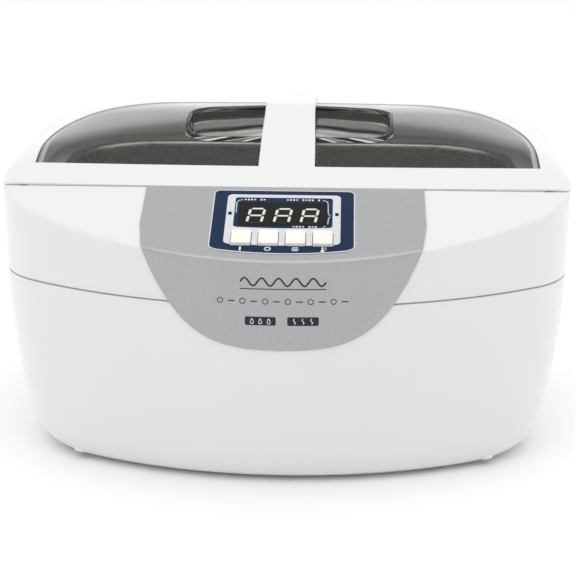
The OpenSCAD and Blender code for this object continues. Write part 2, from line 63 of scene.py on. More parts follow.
HALF_W = SHELL_HIGH[0]
REAR_Y = SHELL_HIGH[1]
FRONT_Y = -SHELL_LOW[1]
SEAM_GAP = 0.3
SEAM_Z = 92.3
SHELL_BOTTOM = SEAM_Z + SEAM_GAP
BASE_TOP = SEAM_Z - SEAM_GAP
POST_SPLIT = SHELL_LOW[2]
FOOT_H = node_box("base_shell")[0][2]
LID_SEAM = SHELL_HIGH[2] + SEAM_GAP
SHELL_TOP = SHELL_HIGH[2]
CORNER_R = 42.0
FRONT_R = 215.0
REAR_R = 1500.0
STRAIGHT_Z = 89.0
FILLET_H = 13.0
SIDE_FILLET = 13.0
FRONT_FILLET = 8.0
SIDE_TUCK = 10.0
REAR_TUCK = 6.0
DRAFT = 0.09
CREASE_Z = 114.3
CREASE_FRONT = 114.2
CREASE_R = 2.4
CREASE_SOFT = 1.0
WALL = 2.8
RIM_W = 9.0
DECK_TOP = 131.5
DECK_T = 2.5

SLOPE = radians(20.5)
SLOPE_K = tan(SLOPE)
CONSOLE_Y = 56.6
FASCIA_T = 0.6
FASCIA_HW = 67.5
FASCIA_BOTTOM = 70.4
PITCH = 12.7
BUTTON_X = [-1.5 * PITCH, -0.5 * PITCH, 0.5 * PITCH, 1.5 * PITCH]
BUTTON_SIZE = (9.2, 10.8)
BUTTON_S = 43.9
BUTTON_TOP = 2.2
KEY_MARK_S = 52.0
DISPLAY_S = 23.7
DIGIT_X = (-17.8, -4.95, 7.7)
DIGIT_H = 12.7
LAMP_U = 25.4
LENS_SIZE = (42.0, 19.4)
LABEL_W = 68.0
LABEL_TOP = 3.3
LABEL_SIDE = 52.3
LABEL_BOW = 3.5
LABEL_R = 3.0
LABEL_N = 0.6
HOLE_GAP = 0.4

DOME_H = 24.6
DOME_BLEND = 4.0
DOME_POWER = 0.39
WINDOW_HW = 125.5
WINDOW_FRONT = 38.0
WINDOW_REAR = 73.0
WINDOW_POWER = 3.5
STRAP_HW = 14.2
STRAP_RISE = 5.0
STRAP_REAR = 102.0
RECESS_HW = 54.0
RECESS_Y = (-12.0, 50.0)
RECESS_R = (13.0, 20.0)
RECESS_BOW = 8.0
RECESS_FLOOR = 151.2
GLASS_T = 2.5
GLASS_DROP = 0.6
FRAME_T = 2.6
LIP_BOTTOM = LID_LOW[2]

TANK_FLANGE = 4.5
TANK_Y = (TANK_LOW[1] + TANK_HIGH[1]) / 2
TANK_R = 38.0
SHEET_T = 0.8
HINGE_X = 62.0
HINGE_Y = 111.4
HINGE_HW = 11.0
KNUCKLE_ROOM = 3.8
POST_XY = [(-100, 86), (100, 86), (-100, -72), (100, -72)]
FOOT_XY = [(-84, 66), (84, 66), (-84, -58), (84, -58)]
FLOOR_T = 3.0
FOOT_POCKET_R = 8.05
SCREW_POCKET_R = 3.7
FAN_AT = (-70.0, 92.5, 40.0)
FAN_R = 17.5
SLOT_PITCH = 4.0
SLOT_W = 2.2
INLET_AT = (70.0, 108.6, 37.0)
INLET_HOLE = (14.0, 10.0)

# ---------------------------------------------------------------- meshes


def grid_faces(rows, cols, closed=True):
    """Quads between the rows of a grid whose columns may close on themselves."""
    faces = []
    for j in range(rows - 1):
        for i in range(cols if closed else cols - 1):
            k = (i + 1) % cols
            faces.append((j * cols + i, j * cols + k, (j + 1) * cols + k, (j + 1) * cols + i))
    return faces


def add_object(name, mesh, body, material, replaces=()):
    obj = bpy.data.objects.new(name, mesh)
    bpy.context.scene.collection.objects.link(obj)
    mesh.materials.clear()
    mesh.materials.append(material)
    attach(obj, body)
    if replaces:
        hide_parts(*replaces)
    return obj


def finish_mesh(mesh, angle=38):
    mesh.validate()
    work = bmesh.new()
    work.from_mesh(mesh)
    bmesh.ops.recalc_face_normals(work, faces=work.faces)
    work.to_mesh(mesh)
    work.free()
    mesh.update()
    for poly in mesh.polygons:
        poly.use_smooth = True
    mesh.set_sharp_from_angle(angle=radians(angle))


def mesh_of(name, points, faces, angle=38):
    mesh = bpy.data.meshes.new(name)
    mesh.from_pydata([tuple(float(c) * MM for c in p) for p in points], [], faces)
    finish_mesh(mesh, angle)
    return mesh


def looped(name, loops, cap_first=False, cap_last=False, ring=False, angle=38):
    """A mesh through closed loops of equal length; ring joins the last loop to the first."""
    cols = len(loops[0])
    points = [p for loop in loops for p in loop]
    faces = grid_faces(len(loops), cols)
    if ring:
        last = (len(loops) - 1) * cols
        faces += [(last + i, last + (i + 1) % cols, (i + 1) % cols, i) for i in range(cols)]
    for wanted, loop, base in ((cap_first, loops[0], 0), (cap_last, loops[-1], (len(loops) - 1) * cols)):
        if wanted:
            points.append(tuple(np.mean(np.array(loop, float), axis=0)))
            hub = len(points) - 1
            for i in range(cols):
                a, b = base + i, base + (i + 1) % cols
                faces.append((b, a, hub) if base == 0 else (a, b, hub))
    return mesh_of(name, points, faces, angle)


def piece(name, loops, body, material, slot, replaces=(), **shape):
    """An object straight from its loops."""
    return add_object(name, looped(name, loops, **shape), body, material, replaces)


def merged(name, meshes, body, material, replaces=()):
    """An object from several meshes."""
    return add_object(name, joined(name, meshes), body, material, replaces)


def cut(obj, cutters, angle=38):
    """Cuts the cutter meshes, none of which touch, out of an object."""
    tool = bpy.data.objects.new("cutter", joined("cutters", cutters))
    bpy.context.scene.collection.objects.link(tool)
    boolean = obj.modifiers.new("cut", "BOOLEAN")
    boolean.operation = "DIFFERENCE"
    boolean.solver = "MANIFOLD"
    boolean.object = tool
    bpy.context.view_layer.update()
    mesh = bpy.data.meshes.new_from_object(obj.evaluated_get(bpy.context.evaluated_depsgraph_get()))
    obj.modifiers.clear()
    obj.data = mesh
    bpy.data.objects.remove(tool)
    finish_mesh(mesh, angle)


def arc(cx, cy, r, a0, a1, n):
    t = np.radians(np.linspace(a0, a1, n, endpoint=False))
    return np.stack([cx + r * np.cos(t), cy + r * np.sin(t)], axis=1)


def line(p, q, n):
    t = np.linspace(0, 1, n, endpoint=False)[:, None]
    return np.array(p, float) * (1 - t) + np.array(q, float) * t


def plan(a, front, rear, off=0.0):
    """The bowed rectangle behind every outline of the casing, counterclockwise from the front left."""
    rc, rf, rr, pc = CORNER_R - off, FRONT_R - off, REAR_R - off, a - CORNER_R
    cf, cb = FRONT_R - front, rear - REAR_R
    qf = cf - sqrt((rf - rc) ** 2 - pc * pc)
    qb = cb + sqrt((rr - rc) ** 2 - pc * pc)
    af, ab = degrees(asin(pc / (rf - rc))), degrees(asin(pc / (rr - rc)))
    w = a - off
    return np.concatenate([
        arc(0, cf, rf, -90 - af, -90 + af, 72), arc(pc, qf, rc, -90 + af, 0, 30),
        line((w, qf), (w, qb), 14), arc(pc, qb, rc, 0, 90 - ab, 26),
        arc(0, cb, rr, 90 - ab, 90 + ab, 36), arc(-pc, qb, rc, 90 + ab, 180, 26),
        line((-w, qb), (-w, qf), 14), arc(-pc, qf, rc, 180, 270 - af, 30)])


def body_outline(z, off=0.0):
    tuck = 0.0 if z >= STRAIGHT_Z else ((STRAIGHT_Z - z) / (STRAIGHT_Z - FOOT_H - FILLET_H)) ** 2
    h = min(1.0, max(0.0, (z - FOOT_H) / FILLET_H))
    fillet = 1 - sqrt(1 - (1 - h) ** 2)
    return plan(HALF_W - SIDE_TUCK * tuck - SIDE_FILLET * fillet,
                CREASE_FRONT - DRAFT * (CREASE_Z - z) - FRONT_FILLET * fillet,
                REAR_Y - REAR_TUCK * tuck - FRONT_FILLET * fillet, off)


def lift(outline, z):
    """An outline at height z, or at a height for each of its points."""
    z = np.broadcast_to(np.asarray(z, float), (len(outline),))
    return np.column_stack([outline, z])


def unit(vectors):
    return vectors / np.linalg.norm(vectors, axis=1)[:, None]


def quarter(n):
    return np.linspace(0, pi / 2, n)


def pen_edges(points, width):
    """The two edges of a pen stroke along points."""
    points = np.array(points, float)
    t = unit(np.gradient(points, axis=0))
    side = np.stack([-t[:, 1], t[:, 0]], axis=1) * width / 2
    return points + side, points - side


def ray_radius(polygon, centre, angles):
    """How far the polygon lies from the centre along each angle."""
    p = polygon - centre
    q = np.roll(p, -1, axis=0)
    out = []
    for t in angles:
        d = np.array([cos(t), sin(t)])
        cp, cq = d[0] * p[:, 1] - d[1] * p[:, 0], d[0] * q[:, 1] - d[1] * q[:, 0]
        hit = (cp <= 0) & (cq > 0) | (cp >= 0) & (cq < 0)
        k = cp[hit] / (cp[hit] - cq[hit])
        out.append(np.max((p[hit] + (q[hit] - p[hit]) * k[:, None]) @ d))
    return np.array(out)


def on_rays(polygon, centre, angles):
    r = ray_radius(polygon, centre, angles)
    return centre + np.stack([np.cos(angles), np.sin(angles)], axis=1) * r[:, None]


def ray_angles(n, centre, corners):
    """Even angles round the centre, with one exactly at each corner."""
    extra = [atan2(c[1] - centre[1], c[0] - centre[0]) for c in corners]
    even = [t for t in np.linspace(-pi, pi, n, endpoint=False)
            if all(abs(t - e) > 0.6 * pi / n for e in extra)]
    return np.array(sorted(even + extra))


def smooth_min(a, b, k):
    return 0.5 * (a + b - np.sqrt((a - b) ** 2 + k * k))


LID_OUTLINE = plan(HALF_W, FRONT_Y, REAR_Y)
LID_ANGLE = np.arctan2(LID_OUTLINE[:, 1], LID_OUTLINE[:, 0])
LID_REACH = np.hypot(LID_OUTLINE[:, 0], LID_OUTLINE[:, 1])


def dome_z(points, off=0.0):
    """Height of the lid's dome, moved in by off, over points in plan."""
    x = points[:, 0] / (1 - off / HALF_W)
    y = points[:, 1] / (1 - off / REAR_Y)
    edge = np.interp(np.arctan2(y, x), LID_ANGLE, LID_REACH, period=2 * pi)
    s = np.clip(np.hypot(x, y) / edge, 0, 1)
    h = (1 - s * s) ** DOME_POWER
    plane = LID_SEAM - off / cos(SLOPE) + SLOPE_K * (points[:, 1] + CONSOLE_Y)
    plane = plane + DOME_BLEND / 2 * (1 - h)
    return smooth_min(LID_SEAM + (DOME_H - off) * h, plane, DOME_BLEND)


def window_outline(off=0.0):
    """Square corners at the front, and half a superellipse behind."""
    a, y0 = WINDOW_HW - off, off - WINDOW_FRONT
    depth, k = WINDOW_REAR - off - y0, 2 / WINDOW_POWER
    t = np.radians(np.linspace(0, 180, 181)[:-1])
    back = np.stack([a * np.sign(np.cos(t)) * np.abs(np.cos(t)) ** k, y0 + depth * np.sin(t) ** k], axis=1)
    return np.concatenate([line((-a, y0), (a, y0), 40), back])


def recess_outline(off=0.0):
    front_r, back_r = RECESS_R[0] - off, RECESS_R[1] - off
    front_c, back_c = RECESS_HW - RECESS_R[0], RECESS_HW - RECESS_R[1]
    y0, y1 = RECESS_Y[0] + RECESS_R[0], RECESS_Y[1] - RECESS_BOW - RECESS_R[1]
    back = [(back_c * t, y1 + back_r + RECESS_BOW * (1 - t * t)) for t in np.linspace(1, -1, 41)]
    return np.concatenate([arc(front_c, y0, front_r, -90, 0, 14), arc(back_c, y1, back_r, 0, 90, 20),
                           np.array(back), arc(-back_c, y1, back_r, 94, 180, 20),
                           arc(-front_c, y0, front_r, 180, 276, 16)])


def rounded_rect(w, d, r, n=10):
    x, y = w / 2 - r, d / 2 - r
    parts = []
    for cx, cy, start in ((x, y, 0), (-x, y, 90), (-x, -y, 180), (x, -y, 270)):
        t = np.radians(np.linspace(start, start + 90, n + 1))
        parts.append(np.stack([cx + r * np.cos(t), cy + r * np.sin(t)], axis=1))
    return np.concatenate(parts)


def console(u, s, n=0.0):
    """A place on the console: u to the right, s down the slope, n out of it."""
    return np.array([u, -CONSOLE_Y - s * cos(SLOPE) - n * sin(SLOPE),
                     LID_SEAM - s * sin(SLOPE) + n * cos(SLOPE)])


def console_matrix(n):
    """The console's plane, raised by n."""
    across, up = Vector((1, 0, 0)), Vector((0, cos(SLOPE), sin(SLOPE)))
    out = across.cross(up)
    m = Matrix((across, up, out)).transposed().to_4x4()
    m.translation = Vector(console(0, 0, n)) * MM
    return m


def slab(name, loops, depth, bevel, matrix, material, replaces=()):
    """A flat plate on the matrix's XY plane, with rounded edges and a hole for each loop after the first."""
    curve = bpy.data.curves.new(name, "CURVE")
    curve.dimensions = "2D"
    curve.fill_mode = "BOTH"
    curve.extrude = max(depth / 2 - bevel, 0.00001) * MM
    curve.bevel_depth = bevel * MM
    curve.bevel_resolution = 2
    curve.offset = -bevel * MM
    for loop in loops:
        spline = curve.splines.new("POLY")
        spline.points.add(len(loop) - 1)
        for point, p in zip(spline.points, loop):
            point.co = (p[0] * MM, p[1] * MM, 0, 1)
        spline.use_cyclic_u = True
    temp = bpy.data.objects.new(name + "_curve", curve)
    bpy.context.scene.collection.objects.link(temp)
    bpy.context.view_layer.update()
    mesh = bpy.data.meshes.new_from_object(temp.evaluated_get(bpy.context.evaluated_depsgraph_get()))
    bpy.data.objects.remove(temp)
    mesh.transform(matrix @ Matrix.Translation((0, 0, depth / 2 * MM)))
    mesh.name = name
    finish_mesh(mesh, 50)
    return add_object(name, mesh, "case", material, replaces)


def joined(name, meshes):
    """One mesh from several."""
    points, faces = [], []
    for mesh in meshes:
        base = len(points)
        points += [tuple(v.co) for v in mesh.vertices]
        faces += [tuple(base + i for i in p.vertices) for p in mesh.polygons]
    out = bpy.data.meshes.new(name)
    out.from_pydata(points, [], faces)
    finish_mesh(out)
    return out


def cylinder(start, end, radius):
    """A closed rod between two points along one of the axes."""
    start, end = np.array(start, float), np.array(end, float)
    axis = int(np.argmax(np.abs(end - start)))
    a, b = (axis + 1) % 3, (axis + 2) % 3
    loops = []
    for centre in (start, end):
        loop = []
        for t in np.linspace(0, 2 * pi, ROD_SIDES, endpoint=False):
            p = centre.copy()
            p[a] += radius * cos(t)
            p[b] += radius * sin(t)
            loop.append(p)
        loops.append(loop)
    return looped("rod", loops, cap_first=True, cap_last=True)


def box_mesh(low, high):
    corners = [(low[0], low[1]), (high[0], low[1]), (high[0], high[1]), (low[0], high[1])]
    return looped("box", [[(x, y, z) for x, y in corners] for z in (low[2], high[2])], True, True)


def console_prism(outline, low_n, high_n):
    """A prism over an outline in the console's plane, in metres."""
    return looped("prism", [[console(u, -v, n) for u, v in outline] for n in (low_n, high_n)], True, True)


def console_cutters(gap):
    """Prisms for the holes of the display and the four buttons."""
    lens = shifted(rounded_rect(LENS_SIZE[0] + gap, LENS_SIZE[1] + gap, 1.0), 0, DISPLAY_S)
    tools = [console_prism(lens, -10, 10)]
    for x in BUTTON_X:
        hole = rounded_rect(BUTTON_SIZE[0] + 2 * gap, BUTTON_SIZE[1] + 2 * gap, 1.2)
        tools.append(console_prism(shifted(hole, x, BUTTON_S), -10, 10))
    return tools


# ---------------------------------------------------------------- materials


def set_inputs(node, values):
    """Sets a node's inputs; an underscore stands for a space."""
    for key, value in values.items():
        node.inputs[key.replace("_", " ")].default_value = value


def add_node(tree, kind, **values):
    node = tree.nodes.new("ShaderNode" + kind)
    set_inputs(node, values)
    return node


def map_range(tree, value, low, high, to_low, to_high):
    node = add_node(tree, "MapRange", From_Min=low, From_Max=high, To_Min=to_low, To_Max=to_high)
    tree.links.new(value, node.inputs["Value"])
    return node.outputs["Result"]


class Nodes:
    """A node material with short calls for what this object's materials need."""

    def __init__(self, name, color, rough, metallic=0.0, **sockets):
        self.material = bpy.data.materials.new(name)
        self.material.use_nodes = True
        self.tree = self.material.node_tree
        self.shader = self.tree.nodes["Principled BSDF"]
        self.color = tuple(color) + (1.0,)
        set_inputs(self.shader, dict(Base_Color=self.color, Roughness=rough, Metallic=metallic, **sockets))
        self.place = add_node(self.tree, "TexCoord").outputs["Object"]
        self.normal = None

    def link(self, a, b):
        self.tree.links.new(a, b)

    def noise(self, scale, detail=3.0, stretch=None, rough=0.5):
        """Noise over the object's own place; scale is in features per metre."""
        node = add_node(self.tree, "TexNoise", Scale=scale, Detail=detail, Roughness=rough)
        place = self.place
        if stretch:
            mapping = add_node(self.tree, "Mapping", Scale=stretch)
            self.link(place, mapping.inputs["Vector"])
            place = mapping.outputs["Vector"]
        self.link(place, node.inputs["Vector"])
        return node.outputs["Fac"]

    def range(self, value, low, high, to_low, to_high):
        return map_range(self.tree, value, low, high, to_low, to_high)

    def vary_color(self, value, other, amount=1.0):
        """Blends the base colour towards another by a 0 to 1 value."""
        node = add_node(self.tree, "Mix")
        node.data_type = "RGBA"
        set_inputs(node, {"A": self.color, "B": tuple(other) + (1.0,)})
        self.link(self.range(value, 0.35, 0.65, 0.0, amount), node.inputs["Factor"])
        self.link(node.outputs["Result"], self.shader.inputs["Base Color"])

    def vary_rough(self, value, low, high):
        self.link(self.range(value, 0.3, 0.7, low, high), self.shader.inputs["Roughness"])

    def bump(self, value, strength, distance):
        node = add_node(self.tree, "Bump", Strength=strength, Distance=distance)
        self.link(value, node.inputs["Height"])
        if self.normal:
            self.link(self.normal, node.inputs["Normal"])
        self.normal = node.outputs["Normal"]
        self.link(self.normal, self.shader.inputs["Normal"])


def gloss_white():
    m = Nodes("gloss_white", (0.78, 0.785, 0.79), 0.16, Coat_Weight=0.25, Coat_Roughness=0.06, IOR=1.5)
    m.vary_color(m.noise(9, 2), (0.76, 0.765, 0.77), 0.6)
    m.vary_rough(m.noise(60, 4), 0.13, 0.2)
    m.bump(m.noise(900, 2), 0.04, 0.00004)
    return m.material


def silver_paint(name, color, rough):
    m = Nodes(name, color, rough, 0.75)
    m.vary_color(m.noise(5000, 1), [c * 1.12 for c in color], 0.8)
    m.vary_rough(m.noise(90, 3), rough - 0.05, rough + 0.06)
    m.bump(m.noise(3500, 1), 0.03, 0.00002)
    return m.material


def smooth_plastic(name, color, rough, depth=0.00003, shine=0.5):
    m = Nodes(name, color, rough, Specular_IOR_Level=shine)
    m.vary_color(m.noise(40, 3), [c * 0.86 for c in color], 0.7)
    m.vary_rough(m.noise(120, 3), rough - 0.04, rough + 0.08)
    m.bump(m.noise(1500, 2), 0.2, depth)
    return m.material


def soft_rubber(name, color):
    m = Nodes(name, color, 0.72)
    m.vary_color(m.noise(150, 4), [c * 1.35 for c in color], 0.7)
    m.bump(m.noise(2600, 3), 0.5, 0.00006)
    return m.material


def brushed_steel(name, color, rough, stretch):
    m = Nodes(name, color, rough, 1.0)
    grain = m.noise(220, 4, stretch=stretch, rough=0.7)
    m.vary_color(grain, [c * 0.82 for c in color], 0.7)
    m.vary_rough(m.noise(300, 3, stretch=stretch), rough - 0.06, rough + 0.1)
    m.bump(grain, 0.12, 0.00003)
    return m.material


def plated(name, color):
    m = Nodes(name, color, 0.24, 1.0)
    m.vary_color(m.noise(260, 4), [c * 0.75 for c in color], 0.5)
    m.vary_rough(m.noise(500, 3), 0.16, 0.36)
    return m.material


def smoked_clear():
    m = Nodes("smoked_clear", (0.76, 0.765, 0.745), 0.03, Transmission_Weight=1.0, IOR=1.22)
    m.vary_rough(m.noise(25, 3), 0.02, 0.06)
    m.bump(m.noise(14, 1), 0.05, 0.0006)
    return m.material


def circuit_green():
    m = Nodes("circuit_green", (0.02, 0.17, 0.07), 0.3, Coat_Weight=0.4)
    tracks = add_node(m.tree, "TexBrick", Scale=110, Color1=(0.02, 0.17, 0.07, 1),
                      Color2=(0.03, 0.24, 0.10, 1), Mortar=(0.05, 0.34, 0.16, 1))
    m.link(m.place, tracks.inputs["Vector"])
    m.link(tracks.outputs["Color"], m.shader.inputs["Base Color"])
    m.bump(tracks.outputs["Fac"], 0.3, 0.00005)
    return m.material


def wound_copper():
    m = Nodes("wound_copper", (0.62, 0.27, 0.09), 0.32, 0.8)
    turns = add_node(m.tree, "TexWave", Scale=420, Distortion=0.6)
    turns.bands_direction = "Z"
    m.link(m.place, turns.inputs["Vector"])
    m.vary_color(turns.outputs["Fac"], (0.30, 0.11, 0.03), 0.9)
    m.bump(turns.outputs["Fac"], 0.6, 0.0002)
    return m.material


def pale_floor():
    m = Nodes("pale_floor", (0.98, 0.98, 0.98), 0.65)
    m.vary_rough(m.noise(4, 2), 0.6, 0.7)
    return m.material


WHITE = gloss_white()
SILVER = silver_paint("silver_fascia", (0.38, 0.39, 0.395), 0.27)
BRIGHT_SILVER = silver_paint("silver_print", (0.66, 0.68, 0.70), 0.3)
NAVY = smooth_plastic("navy_film", (0.006, 0.02, 0.065), 0.3, depth=0.00001, shine=0.1)
LENS = smooth_plastic("display_black", (0.006, 0.006, 0.006), 0.2, depth=0.00001, shine=0.1)
SEGMENT = smooth_plastic("segment_pale", (0.74, 0.75, 0.68), 0.4)
SEGMENT_DIM = smooth_plastic("segment_dim", (0.02, 0.02, 0.019), 0.4, shine=0.1)
PRINT = smooth_plastic("print_pale", (0.72, 0.74, 0.77), 0.4)
PRINT_DARK = smooth_plastic("print_dark", (0.03, 0.032, 0.04), 0.5, shine=0.15)
CREAM = smooth_plastic("cream_button", (0.93, 0.92, 0.86), 0.34)
BLACK = smooth_plastic("moulded_black", (0.02, 0.02, 0.021), 0.42)
# painted shade: the grey of the tongue seen in the seam
SEAM_PAINTED_SHADE = smooth_plastic("seam_painted_shade", (0.30, 0.30, 0.30), 0.6)
FOOT = soft_rubber("foot_rubber", (0.03, 0.03, 0.032))
SILICONE = soft_rubber("grey_silicone", (0.24, 0.24, 0.235))
HEATER = soft_rubber("heater_mat", (0.60, 0.13, 0.03))
SMOKED = smoked_clear()
STAINLESS = brushed_steel("stainless_sheet", (0.58, 0.555, 0.50), 0.2, (1.0, 1.0, 14.0))
ZINC = plated("bright_zinc", (0.70, 0.70, 0.68))
ALUMINIUM = brushed_steel("turned_aluminium", (0.75, 0.75, 0.76), 0.26, (1.0, 1.0, 10.0))
BRASS = plated("brass_sheet", (0.74, 0.52, 0.20))
CERAMIC = smooth_plastic("piezo_ceramic", (0.20, 0.18, 0.16), 0.5)
BOARD = circuit_green()
COPPER = wound_copper()
SLEEVE = smooth_plastic("capacitor_sleeve", (0.02, 0.03, 0.12), 0.25)
RELAY = smooth_plastic("relay_case", (0.03, 0.14, 0.42), 0.35)
LAMP = smooth_plastic("lamp_red", (0.45, 0.02, 0.015), 0.15)
CABLE = smooth_plastic("ribbon_grey", (0.52, 0.52, 0.50), 0.5)
BROWN = smooth_plastic("wire_brown", (0.16, 0.06, 0.02), 0.4)
RED = smooth_plastic("wire_red", (0.50, 0.02, 0.015), 0.4)
PALE_WIRE = smooth_plastic("wire_white", (0.72, 0.72, 0.70), 0.4)

NODE_MATERIALS = (
    (WHITE, "base_shell upper_shell lid_frame"), (SILVER, "fascia"), (NAVY, "control_label"),
    (LENS, "display_lens"), (SMOKED, "lid_window"), (STAINLESS, "tank"), (LAMP, "indicator_leds"),
    (CREAM, "button_on button_off button_set button_tc"), (BOARD, "display_board main_board"),
    (BLACK, "led_display tact_switches thermostat power_transistors fuse_holder"),
    (BLACK, "fan_frame fan_rotor power_inlet"), (CABLE, "display_ribbon"), (BRASS, "piezo_electrodes"),
    (ZINC, "lid_hinge_leaves hinge_brackets hinge_pins transducer_tails transducer_bolts"),
    (ZINC, "board_screws fan_screws inlet_pins base_screws"),
    (SILICONE, "tank_gasket"), (ALUMINIUM, "transducer_heads heat_sink"), (CERAMIC, "piezo_rings"),
    (HEATER, "heater_pads"), (COPPER, "transformer"), (SLEEVE, "capacitors"), (RELAY, "relay"),
    (BROWN, "mains_leads"), (RED, "transducer_leads"), (PALE_WIRE, "heater_leads"), (FOOT, "rubber_feet"))
for node_material, node_names in NODE_MATERIALS:
    for node_name in node_names.split():
        node_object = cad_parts[node_name]
        node_object.data.materials.clear()
        node_object.data.materials.append(node_material)

# ---------------------------------------------------------------- casing


def wall_loops(path):
    """Loops of the walls' outline at each (off, z) of a path."""
    return [lift(body_outline(z, off), z) for off, z in path]


def base_shell():
    """The tub: floor, bottom fillet, drafted walls, a rounded top edge and the tongue inside it."""
    floor_top = FOOT_H + FLOOR_T
    fillet = [FOOT_H + FILLET_H * (1 - cos(t)) for t in np.radians(np.linspace(0, 90, 12))]
    walls = list(np.linspace(FOOT_H + FILLET_H + 5, BASE_TOP - 0.5, 12))
    outer = [lift(body_outline(FOOT_H, 0) * 0.55, FOOT_H), lift(body_outline(FOOT_H, 0) * 0.9, FOOT_H)]
    outer += [lift(body_outline(z), z) for z in fillet + walls]
    z = BASE_TOP
    edge = wall_loops([(0.12, z - 0.2), (0.45, z), (1.3, z), (1.4, z + 1.6), (2.2, z + 1.6), (2.6, z - 3)])
    inner = [lift(body_outline(z, WALL), z) for z in np.linspace(BASE_TOP - 4, FOOT_H + FILLET_H, 8)]
    inner.append(lift(body_outline(FOOT_H + 6, WALL + 1), FOOT_H + 6))
    inner.append(lift(body_outline(FOOT_H + 4, WALL + 4), floor_top))
    inner.append(lift(body_outline(FOOT_H, 8) * 0.5, floor_top))
    shell = piece("base_moulding", outer + edge + inner, "case", WHITE, "white_abs", ["base_shell"],
                  cap_first=True, cap_last=True)
    tools = [cylinder((x, y, FOOT_H - 1), (x, y, FOOT_H + 1.5), FOOT_POCKET_R) for x, y in FOOT_XY]
    tools += [cylinder((x, y, FOOT_H - 1), (x, y, floor_top + 1), SCREW_POCKET_R) for x, y in POST_XY]
    (x, _, z), (half_w, half_h) = INLET_AT, INLET_HOLE
    tools.append(box_mesh((x - half_w, 90, z - half_h), (x + half_w, 120, z + half_h)))
    for i in range(-4, 5):
        half = sqrt(FAN_R ** 2 - (SLOT_PITCH * i) ** 2)
        x, z = FAN_AT[0] + SLOT_PITCH * i, FAN_AT[2]
        slot = [(x + px, z + pz) for px, pz in rounded_rect(SLOT_W, 2 * half, 1.0, 5)]
        tools.append(looped("slot", [[(px, y, pz) for px, pz in slot] for y in (98, 120)], True, True))
    cut(shell, tools)


def seam_band():
    """A grey band in the seam between the two mouldings: painted shade on the tongue seen in the gap."""
    low, high = BASE_TOP, SHELL_BOTTOM
    path = [(0.45, low + 0.02), (0.3, low + 0.06), (0.3, high - 0.04), (1.05, high - 0.02)]
    piece("seam_band", wall_loops(path), "case", SEAM_PAINTED_SHADE, "white_abs", ring=True, angle=60)


def console_height(y):
    return LID_SEAM - SEAM_GAP / cos(SLOPE) + SLOPE_K * (y + CONSOLE_Y)


def upper_shell():
    """Walls, the sloping console with its soft crease, the rim, the recess for the lid, and the deck."""
    edge_y = -CONSOLE_Y - SEAM_GAP
    low, high = body_outline(SHELL_BOTTOM), body_outline(SHELL_TOP)
    wall_h = SHELL_TOP - SHELL_BOTTOM

    def at(z):
        """The wall's outline at height z, or at a height for each point."""
        return low + (high - low) * np.reshape((z - SHELL_BOTTOM) / wall_h, (-1, 1))

    inset = body_outline(SHELL_TOP, RIM_W)
    recess = inset.copy()
    front = high[:, 1] < edge_y
    recess[:, 1] = np.maximum(recess[:, 1], edge_y)
    recess[front, 0] = np.clip(high[front, 0], inset[:, 0].min(), inset[:, 0].max())
    # the crease lies where the wall meets the console
    crease_z = np.full(len(low), SHELL_TOP)
    for _ in range(6):
        points = at(crease_z)
        crease_z = np.minimum(SHELL_TOP, console_height(points[:, 1]))
    crease = np.column_stack([points, crease_z])
    top_z = np.minimum(SHELL_TOP, console_height(recess[:, 1]))
    rim = np.column_stack([recess, top_z])
    span = np.linalg.norm(rim - crease, axis=1)
    r = np.minimum(0.45 * span, np.where(crease_z > SHELL_TOP - 0.8, 0.6, CREASE_R))
    down = np.column_stack([(low - high) / wall_h, -np.ones(len(low))])
    inward = (rim - crease) / np.maximum(span, 1e-6)[:, None]
    a, b = crease + down * r[:, None], crease + inward * r[:, None]
    loops = []
    # inside, from the tank opening down to the bottom edge
    opening = tank_outline_like(recess, SHEET_T + 0.4)
    deck_low = DECK_TOP - DECK_T
    loops.append(lift(opening, deck_low))
    under = body_outline(SHELL_TOP, WALL)
    for outline in (recess + (under - recess) * 0.7, under):
        loops.append(lift(outline, np.minimum(deck_low, console_height(outline[:, 1]) - WALL)))
    loops.append(lift(body_outline(SHELL_BOTTOM + 2, WALL), SHELL_BOTTOM + 2.4))
    z = SHELL_BOTTOM
    loops += wall_loops([(1.1, z + 2.2), (1.1, z), (0.4, z), (0.12, z + 0.12)])
    loops += [lift(at(z), z) for z in np.linspace(SHELL_BOTTOM + 0.3, SHELL_BOTTOM + 8, 3)]
    start = loops[-1]
    loops += [start + (a - start) * t for t in np.linspace(0.25, 0.9, 5)]
    for t in np.linspace(0, 1, 7):
        loops.append(a * (1 - t) ** 2 + crease * (2 * t * (1 - t)) + b * t ** 2)
    loops += [b + (rim - b) * t for t in np.linspace(0.12, 0.92, 8)]
    loops += [rim, lift(recess + (inset * 0.985 - recess) * 0.02, top_z - 0.4), lift(recess, DECK_TOP + 0.5)]
    loops += [lift(recess + (opening - recess) * t, DECK_TOP) for t in (0.03, 0.3, 0.65, 0.97)]
    loops.append(lift(opening, DECK_TOP - 0.4))
    shell = piece("upper_moulding", loops, "case", WHITE, "white_abs", ["upper_shell"], ring=True, angle=40)
    tools = [box_mesh((x - HINGE_HW, HINGE_Y - 4.3, 124), (x + HINGE_HW, 130, 150))
             for x in (-HINGE_X, HINGE_X)]
    cut(shell, tools + console_cutters(HOLE_GAP))


def tank_outline(off=0.0):
    w, d = TANK_HIGH[0] - TANK_FLANGE, (TANK_HIGH[1] - TANK_LOW[1]) / 2 - TANK_FLANGE
    return rounded_rect(2 * (w + off), 2 * (d + off), TANK_R + off, 24) + np.array([0, TANK_Y])


def tank_outline_like(outline, off):
    """The tank's outline with one point for each point of another outline, by angle."""
    centre = np.array([0.0, TANK_Y])
    rel = outline - centre
    angles = np.arctan2(rel[:, 1], rel[:, 0])
    return on_rays(tank_outline(off), centre, angles)


def fascia_edge(x):
    return FASCIA_BOTTOM + 0.001975 * x * x + 2.188e-6 * x ** 4


